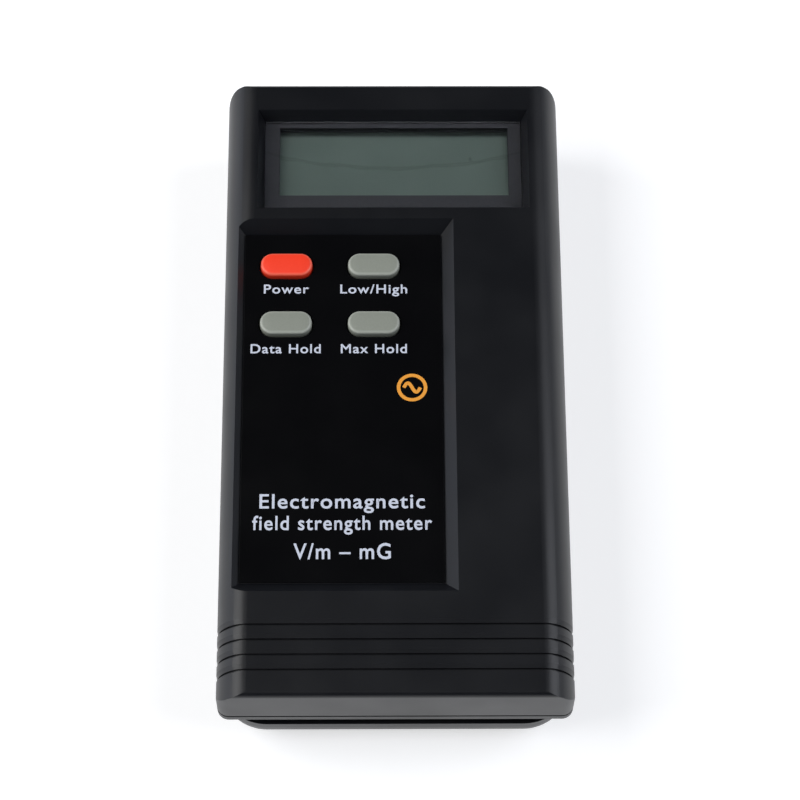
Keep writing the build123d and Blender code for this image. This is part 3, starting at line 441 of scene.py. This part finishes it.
# A dark grey border is printed on the lens's back, so only the glass's view shows.
border_gap = 0.05 * mm
view_half = Vector((22.95 * mm, 7.75 * mm))
view_centre = Vector(((frame_low.x + frame_high.x) / 2, frame_high.y - 9.35 * mm))
made = bmesh.new()
outer_left, outer_right = lens_low.x + border_gap, lens_high.x - border_gap
outer_near, outer_far = lens_low.y + border_gap, lens_high.y - border_gap
outer = ((outer_left, outer_near), (outer_right, outer_near),
         (outer_right, outer_far), (outer_left, outer_far))
inner = [(view_centre.x + sign_x * view_half.x, view_centre.y + sign_y * view_half.y)
         for sign_x, sign_y in ((-1, -1), (1, -1), (1, 1), (-1, 1))]
loops = [[made.verts.new((x, y, z)) for x, y in outline]
         for outline, z in ((outer, lens_low.z), (inner, lens_low.z),
                            (inner, lens_low.z + ink_thickness), (outer, lens_low.z + ink_thickness))]
for loop, following in zip(loops, loops[1:] + loops[:1]):
    for corner in range(4):
        nxt = (corner + 1) % 4
        made.faces.new((loop[corner], loop[nxt], following[nxt], following[corner]))
bmesh.ops.recalc_face_normals(made, faces=made.faces)
border = bpy.data.meshes.new("lens_border")
made.to_mesh(border)
made.free()
# Matt screen ink behind the acrylic.
border_ink = moulded("dark_grey_border_ink", "#3c3c42", "#45454b", 0.5 * mm, 0.002 * mm, 0.5, 0.6)
make_piece("lens_border_print", border, border_ink, "root")


# ---- Label ------------------------------------------------------------------------
# Polycarbonate film, die cut and printed black behind, glued to the floor of the
# lower sunk panel. Its words are white and orange ink.

# A satin film over black print: deeper black and more even than the case.
film = moulded("black_printed_film", "#030304", "#050506", 0.5 * mm, 0.003 * mm, 0.2, 0.25, IOR=1.5)
paint(film, "keypad_label")

label_low, label_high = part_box("keypad_label")
label_centre_x = (label_low.x + label_high.x) / 2
ink_white = moulded("white_screen_ink", "#c6ccdb", "#d2d8e5", 0.4 * mm, 0.002 * mm, 0.5, 0.6)
ink_orange = moulded("orange_screen_ink", "#e8962c", "#f2a63c", 0.4 * mm, 0.002 * mm, 0.5, 0.6)


def key_centre(name):
    """Middle of a key, from its CAD box."""
    low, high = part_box(name + "_keycap")
    return (low + high) / 2


legend_height = 1.95 * mm
lines = []
for name, words, width, drop in (
        ("power", "Power", 8.8, 5.95), ("range", "Low/High", 13.1, 5.95),
        ("hold", "Data Hold", 13.6, 6.25), ("max", "Max Hold", 12.8, 6.25)):
    middle = key_centre(name)
    lines.append((words, middle.x, middle.y - drop * mm, width * mm, legend_height))
for words, rise, width, tall in (
        ("Electromagnetic", 15.0, 31.3, 2.9), ("field strength meter", 10.6, 33.9, 2.9),
        ("V/m – mG", 4.7, 18.3, 3.2)):
    lines.append((words, label_centre_x, label_low.y + rise * mm, width * mm, tall * mm))
words = lettering(lines)
words.transform(Matrix.Translation((0, 0, label_high.z)))
make_piece("label_words", words, ink_white, "root")

# A plain wave in a ring, the general sign for an alternating signal.
mark_centre = Vector((label_high.x - 5.8 * mm, label_low.y + 40.15 * mm, 0))
mark_radius = 2.6 * mm
mark_line = 0.34 * mm


def ribbon(made, path, closed):
    """Flat band with a thickness along a path of points in the XY plane."""
    count = len(path)
    rows = []
    for index, point in enumerate(path):
        before = path[index - 1] if closed or index else point
        after = path[(index + 1) % count] if closed or index < count - 1 else point
        sideways = (after - before).normalized().cross(Vector((0, 0, 1))) * mark_line
        rows.append([made.verts.new(point + side * sideways + Vector((0, 0, rise)))
                     for side, rise in ((-1, 0), (1, 0), (1, ink_thickness), (-1, ink_thickness))])
    for index in range(count if closed else count - 1):
        here, there = rows[index], rows[(index + 1) % count]
        for corner in range(4):
            made.faces.new((here[corner], there[corner], there[(corner + 1) % 4], here[(corner + 1) % 4]))
    if not closed:
        made.faces.new(rows[0])
        made.faces.new(rows[-1])


made = bmesh.new()
ring = [mark_centre + mark_radius * Vector((math.cos(a), math.sin(a), 0))
        for a in [2 * math.pi * step / 64 for step in range(64)]]
ribbon(made, ring, True)
wave_half, wave_rise = 1.6 * mm, 0.95 * mm
wave = [mark_centre + Vector((wave_half * (step / 20 - 1), wave_rise * math.sin(math.pi * step / 20), 0))
        for step in range(41)]
ribbon(made, wave, False)
bmesh.ops.recalc_face_normals(made, faces=made.faces)
sign = bpy.data.meshes.new("wave_sign")
made.to_mesh(sign)
made.free()
sign.transform(Matrix.Translation((0, 0, label_high.z)))
make_piece("label_wave_sign", sign, ink_orange, "root")


# ---- Keys -------------------------------------------------------------------------
# Four moulded keycaps with a slightly crowned top and soft edges. A flange under the
# panel keeps each one in, and a short post stands on the switch plunger.

key_width, key_depth, key_corner = 10.1 * mm, 4.9 * mm, 2.35 * mm
key_edge = 0.6 * mm
# Share of the painted rim highlight at each step round the rolled edge, from the side to the top.
painted_rim_share = (0.0, 0.25, 0.7, 1.0, 0.7, 0.3, 0.0)
key_crown = 0.14 * mm
key_ridge = 0.15 * mm
key_tip_corner = 0.04 * mm
key_post_radius = 1.5 * mm
flange_margin = 0.9 * mm
flange_thickness = 0.7 * mm
post_height = 1.0 * mm


def ring_points(middle, half_x, half_y, radius, z):
    """Rounded outline at one level, always the same number of points."""
    points = []
    for quarter in range(4):
        corner_x = (half_x - radius) * (1 if quarter in (0, 3) else -1)
        corner_y = (half_y - radius) * (1 if quarter in (0, 1) else -1)
        for step in range(9):
            angle = math.pi / 2 * (quarter + step / 8)
            points.append(Vector((middle.x + corner_x + radius * math.cos(angle),
                                  middle.y + corner_y + radius * math.sin(angle), z)))
    return points


def keycap(name):
    """Post, flange, straight sides, rolled edge and crowned top as one closed skin."""
    low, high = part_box(name + "_keycap")
    middle = (low + high) / 2
    half_x, half_y = key_width / 2, key_depth / 2
    rim_z = high.z - key_crown
    flange_low = low.z + post_height
    flange = (half_x + flange_margin, half_y + flange_margin, key_corner + flange_margin)
    levels = [(key_post_radius, key_post_radius, key_post_radius, low.z, 0),
              (key_post_radius, key_post_radius, key_post_radius, flange_low, 0),
              (*flange, flange_low, 0), (*flange, flange_low + flange_thickness, 0),
              (half_x, half_y, key_corner, flange_low + flange_thickness, 0)]
    for step, painted_rim_highlight in enumerate(painted_rim_share):
        angle = math.pi / 2 * step / (len(painted_rim_share) - 1)
        inset = key_edge * (1 - math.cos(angle))
        levels.append((half_x - inset, half_y - inset, key_corner - inset,
                       rim_z - key_edge * (1 - math.sin(angle)), painted_rim_highlight))
    for step in range(1, 6):
        inset = key_edge + (half_y - key_edge - key_ridge) * step / 5
        levels.append((half_x - inset, half_y - inset, max(key_corner - inset, key_tip_corner),
                       rim_z + key_crown * (1 - (1 - step / 5) ** 2), 0))
    made = bmesh.new()
    # Each vertex carries its share of the painted rim highlight.
    mark = made.verts.layers.float.new("painted_rim_highlight")
    rings = []
    for *outline, painted_rim_highlight in levels:
        rings.append([made.verts.new(point) for point in ring_points(middle, *outline)])
        for vertex in rings[-1]:
            vertex[mark] = painted_rim_highlight
    for below, above in zip(rings, rings[1:]):
        for index in range(len(below)):
            nxt = (index + 1) % len(below)
            made.faces.new((below[index], below[nxt], above[nxt], above[index]))
    made.faces.new(rings[0])
    made.faces.new(rings[-1])
    bmesh.ops.remove_doubles(made, verts=made.verts, dist=1e-6)
    bmesh.ops.recalc_face_normals(made, faces=made.faces)
    mesh = bpy.data.meshes.new(name)
    made.to_mesh(mesh)
    made.free()
    mesh.shade_smooth()
    mesh.set_sharp_from_angle(angle=math.radians(40))
    return mesh


# Solid-coloured ABS with a fine matt mould finish, so the colour is even; the
# rolled edge gets a paler rim, a painted highlight.
key_red = moulded("red_abs_matt", "#fb3a1e", "#ff4526", 0.35 * mm, 0.02 * mm, 0.42, 0.5, "#ff6e55", IOR=1.5)
key_grey = moulded("grey_abs_matt", "#868a7f", "#90948a", 0.35 * mm, 0.02 * mm, 0.42, 0.5, "#aeb2a7", IOR=1.5)
for name in key_names:
    colour, slot = (key_red, "key_red") if name == "power" else (key_grey, "key_grey")
    cap = make_piece(name + "_key_top", keycap(name), colour, name + "_key")
    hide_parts(name + "_keycap")


# ---- Battery door -----------------------------------------------------------------
# Sliding cover on the back, moulded with the case and of the same plastic, with five
# finger slots and an arrow. Two side tongues run in grooves of the rear shell.

paint(case_abs, "battery_door")


# ---- Case screws --------------------------------------------------------------------
# Four pan-head self-tapping screws in deep wells, zinc plated and passivated black.
# Each has a cross recess and a coarse thread that bites into the front boss.

head_radius, head_height = 2.5 * mm, 1.7 * mm
rim_height, shoulder_rise, crown_rise = 0.5 * head_height, 0.3 * head_height, 0.2 * head_height
recess_reach, recess_width, recess_depth = 2.9 * mm, 0.7 * mm, 0.95 * mm
shank_radius, shank_length = 1.15 * mm, 13.3 * mm
screw_sizes = (
    ("Head Radius", "NodeSocketFloat", head_radius),
    ("Rim Height", "NodeSocketFloat", rim_height),
    ("Shoulder Rise", "NodeSocketFloat", shoulder_rise),
    ("Shoulder Level", "NodeSocketFloat", rim_height / 2 + 0.9 * shoulder_rise),
    ("Crown Rise", "NodeSocketFloat", crown_rise),
    ("Recess Arm", "NodeSocketVector", (recess_reach, recess_width, 2 * recess_depth)),
    ("Recess Cross Arm", "NodeSocketVector", (recess_width, recess_reach, 2 * recess_depth)),
    ("Recess Place", "NodeSocketVector", (0, 0, head_height - rim_height / 2)),
    ("Head Seat", "NodeSocketVector", (0, 0, rim_height / 2)),
    ("Shank Radius", "NodeSocketFloat", shank_radius),
    ("Shank Tip Radius", "NodeSocketFloat", 0.8 * shank_radius),
    ("Shank Length", "NodeSocketFloat", shank_length),
    ("Thread End Radius", "NodeSocketFloat", 0.85 * shank_radius),
    ("Thread Length", "NodeSocketFloat", 0.9 * shank_length),
    ("Thread Turns", "NodeSocketFloat", 9.0),
    ("Thread Height", "NodeSocketFloat", 0.2 * mm))
screw_tree = bpy.data.node_groups.new("case_screws", "GeometryNodeTree")
screw_tree.interface.new_socket("Places", in_out="INPUT", socket_type="NodeSocketGeometry")
for name, kind, size in screw_sizes:
    screw_tree.interface.new_socket(name, in_out="INPUT", socket_type=kind)
screw_tree.interface.new_socket("Screws", in_out="OUTPUT", socket_type="NodeSocketGeometry")
given = add(screw_tree, "NodeGroupInput", {}).outputs

# The pan head: a straight rim, a sloped shoulder and a low crown.
rim = add(screw_tree, "GeometryNodeMeshCylinder", {
    "Vertices": 28, "Radius": given["Head Radius"], "Depth": given["Rim Height"]})
shoulder = add(screw_tree, "GeometryNodeExtrudeMesh", {
    "Mesh": rim.outputs["Mesh"], "Selection": rim.outputs["Top"],
    "Offset Scale": given["Shoulder Rise"], "Individual": False})
shoulder = add(screw_tree, "GeometryNodeScaleElements", {
    "Geometry": shoulder.outputs["Mesh"], "Selection": shoulder.outputs["Top"], "Scale": 0.9})
# The same face, picked again by its height, for the last step of the head.
place = add(screw_tree, "ShaderNodeSeparateXYZ", {
    "Vector": add(screw_tree, "GeometryNodeInputPosition", {}).outputs[0]})
top_face = add(screw_tree, "ShaderNodeMath", {
    0: place.outputs["Z"], 1: given["Shoulder Level"]}, operation="GREATER_THAN")
crown = add(screw_tree, "GeometryNodeExtrudeMesh", {
    "Mesh": shoulder.outputs["Geometry"], "Selection": top_face.outputs[0],
    "Offset Scale": given["Crown Rise"], "Individual": False})
crown = add(screw_tree, "GeometryNodeScaleElements", {
    "Geometry": crown.outputs["Mesh"], "Selection": crown.outputs["Top"], "Scale": 0.78})
# The cross recess is cut by two bars.
head = add(screw_tree, "GeometryNodeMeshBoolean", {"Mesh 1": crown.outputs["Geometry"]},
           operation="DIFFERENCE", solver="EXACT")
for arm in ("Recess Arm", "Recess Cross Arm"):
    bar = add(screw_tree, "GeometryNodeMeshCube", {"Size": given[arm]})
    bar = add(screw_tree, "GeometryNodeTransform", {
        "Geometry": bar.outputs["Mesh"], "Translation": given["Recess Place"]})
    screw_tree.links.new(bar.outputs["Geometry"], head.inputs["Mesh 2"])
shank = add(screw_tree, "GeometryNodeMeshCone", {
    "Vertices": 20, "Radius Top": given["Shank Tip Radius"],
    "Radius Bottom": given["Shank Radius"], "Depth": given["Shank Length"]})
helix = add(screw_tree, "GeometryNodeCurveSpiral", {
    "Resolution": 20, "Rotations": given["Thread Turns"], "Start Radius": given["Shank Radius"],
    "End Radius": given["Thread End Radius"], "Height": given["Thread Length"]})
flank = add(screw_tree, "GeometryNodeCurvePrimitiveCircle", {
    "Resolution": 4, "Radius": given["Thread Height"]})
thread = add(screw_tree, "GeometryNodeCurveToMesh", {
    "Curve": helix.outputs["Curve"], "Profile Curve": flank.outputs["Curve"], "Fill Caps": True})
# Built with the head up and its rim round the origin, then turned to be driven from
# the back: the head is lifted so that its seat is at zero.
head_up = add(screw_tree, "GeometryNodeTransform", {
    "Geometry": head.outputs["Mesh"], "Translation": given["Head Seat"]}).outputs["Geometry"]
shank_down = add(screw_tree, "GeometryNodeTransform", {
    "Geometry": shank.outputs["Mesh"], "Rotation": (math.pi, 0, 0)}).outputs["Geometry"]
thread_down = add(screw_tree, "GeometryNodeTransform", {
    "Geometry": thread.outputs["Mesh"], "Rotation": (math.pi, 0, 0)}).outputs["Geometry"]
whole = add(screw_tree, "GeometryNodeJoinGeometry", {})
for part in (head_up, shank_down, thread_down):
    screw_tree.links.new(part, whole.inputs["Geometry"])
turned = add(screw_tree, "GeometryNodeTransform", {
    "Geometry": whole.outputs["Geometry"], "Rotation": (math.pi, 0, math.radians(20))})
placed = add(screw_tree, "GeometryNodeInstanceOnPoints", {
    "Points": given["Places"], "Instance": turned.outputs["Geometry"]})
real = add(screw_tree, "GeometryNodeRealizeInstances", {"Geometry": placed.outputs["Instances"]})
# Black passivated zinc: dark, faintly oily, with paler worn edges.
screw_zinc = moulded("black_passivated_zinc", "#2b2b2d", "#5c5a55", 0.6 * mm, 0.01 * mm, 0.3, 0.42,
                     Metallic=1.0)
coated = add(screw_tree, "GeometryNodeSetMaterial", {
    "Geometry": real.outputs["Geometry"], "Material": screw_zinc})
add(screw_tree, "NodeGroupOutput", {"Screws": coated.outputs["Geometry"]})

low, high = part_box("case_screws")
seat_z = low.z + head_height
places_mesh = bpy.data.meshes.new("screw_places")
places_mesh.from_pydata([(x, y, seat_z) for x in (low.x + head_radius, high.x - head_radius)
                         for y in (low.y + head_radius, high.y - head_radius)], [], [])
seed_piece = bpy.data.objects.new("screw_places", places_mesh)
bpy.context.scene.collection.objects.link(seed_piece)
modifier = seed_piece.modifiers.new("screws", "NODES")
modifier.node_group = screw_tree
sockets = {item.name: item.identifier for item in screw_tree.interface.items_tree if item.in_out == "INPUT"}
for name, kind, size in screw_sizes:
    modifier[sockets[name]] = size
bpy.context.view_layer.update()
screws = bpy.data.meshes.new_from_object(seed_piece.evaluated_get(bpy.context.evaluated_depsgraph_get()))
bpy.data.objects.remove(seed_piece)
made = bmesh.new()
made.from_mesh(screws)
bmesh.ops.recalc_face_normals(made, faces=made.faces)
made.to_mesh(screws)
made.free()
case_screws = make_piece("case_screw_set", screws, screw_zinc, "root")
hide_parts("case_screws")
paint(screw_zinc, "board_screws")


# ---- Floor and light ----------------------------------------------------------------
# A pale paper sweep, lit so that it stays even. Two big soft boxes stand left and
# right; overhead is dark, so that level black faces stay black.

floor_half = 1.6
floor_drop = 0.1 * mm
floor_mesh = bpy.data.meshes.new("floor")
floor_mesh.from_pydata([(x * floor_half, y * floor_half, -floor_drop)
                        for x, y in ((-1, -1), (1, -1), (1, 1), (-1, 1))], [], [(0, 1, 2, 3)])
floor = bpy.data.objects.new("floor", floor_mesh)
bpy.context.scene.collection.objects.link(floor)
paper, tree, places = begin_material("white_paper_sweep")
fibre = add(tree, "ShaderNodeTexNoise", {"Vector": places, "Scale": 1 / (2 * mm), "Detail": 2.0})
tint = add(tree, "ShaderNodeMix", {
    "Factor": fibre.outputs["Fac"], "A": linear("#c6c7c9"), "B": linear("#cccdce")}, data_type="RGBA")
end_material(tree, {
    "Base Color": tint.outputs["Result"], "Roughness": 0.9, "Specular IOR Level": 0.0,
    "Emission Color": linear("#ffffff"), "Emission Strength": 0.6})
floor_mesh.materials.append(paper)


def soft_box(name, place, width, height, power, colour):
    """Area light that faces the object."""
    data = bpy.data.lights.new(name, "AREA")
    data.shape = "RECTANGLE"
    data.size = width
    data.size_y = height
    data.energy = power
    data.color = linear(colour)[:3]
    lamp = bpy.data.objects.new(name, data)
    lamp.location = place
    lamp.rotation_euler = (-Vector(place)).to_track_quat("-Z", "Y").to_euler()
    bpy.context.scene.collection.objects.link(lamp)


soft_box("left_box", (-0.75, 0.0, 0.72), 0.8, 0.8, 9.8, "#ffffff")
soft_box("right_box", (0.75, 0.0, 0.72), 0.8, 0.8, 7.1, "#f4f7ff")

world = bpy.data.worlds.new("dim_room")
world.use_nodes = True
world.node_tree.nodes.clear()
heading = add(world.node_tree, "ShaderNodeTexCoord", {}).outputs["Generated"]
rise = add(world.node_tree, "ShaderNodeSeparateXYZ", {"Vector": heading}).outputs["Z"]
# A paler wall far off on the left keeps the slopes that face it grey, not black.
leftward = add(world.node_tree, "ShaderNodeMapRange", {
    "Value": add(world.node_tree, "ShaderNodeSeparateXYZ", {"Vector": heading}).outputs["X"],
    "From Min": -0.95, "From Max": -0.3, "To Min": 2.2, "To Max": 0.6})
fade = add(world.node_tree, "ShaderNodeMapRange", {
    "Value": rise, "From Min": 0.02, "From Max": 0.3, "To Min": leftward.outputs["Result"], "To Max": 0.03})
room = add(world.node_tree, "ShaderNodeBackground", {
    "Color": linear("#e4ecff"), "Strength": fade.outputs["Result"]})
add(world.node_tree, "ShaderNodeOutputWorld", {"Surface": room.outputs["Background"]})
bpy.context.scene.world = world
bpy.context.scene.view_settings.view_transform = "Standard"


# ---- Camera -------------------------------------------------------------------------
# From the near end and well above, a long lens, turned and rolled by about a degree.

elevation = math.radians(65.0)
pan = math.radians(-1.263)
roll = math.radians(1.047)
distance = 547.87 * mm
aim_height = 20 * mm
slide_right, slide_down = 1.164 * mm, 2.322 * mm
back = Vector((math.sin(pan) * math.cos(elevation), -math.cos(pan) * math.cos(elevation),
               math.sin(elevation)))
level_right = Vector((math.cos(pan), math.sin(pan), 0))
level_up = back.cross(level_right)
right = level_right * math.cos(roll) + level_up * math.sin(roll)
up = level_up * math.cos(roll) - level_right * math.sin(roll)
lens = bpy.data.cameras.new("camera")
lens.sensor_width = 36.0
lens.lens = 127.0
lens.clip_start = 0.01
lens.clip_end = 10.0
camera = bpy.data.objects.new("camera", lens)
stand = Vector((0, 0, aim_height)) + back * distance + right * slide_right - up * slide_down
camera.matrix_world = Matrix.Translation(stand) @ Matrix((right, up, back)).transposed().to_4x4()
bpy.context.scene.collection.objects.link(camera)
bpy.context.scene.camera = camera
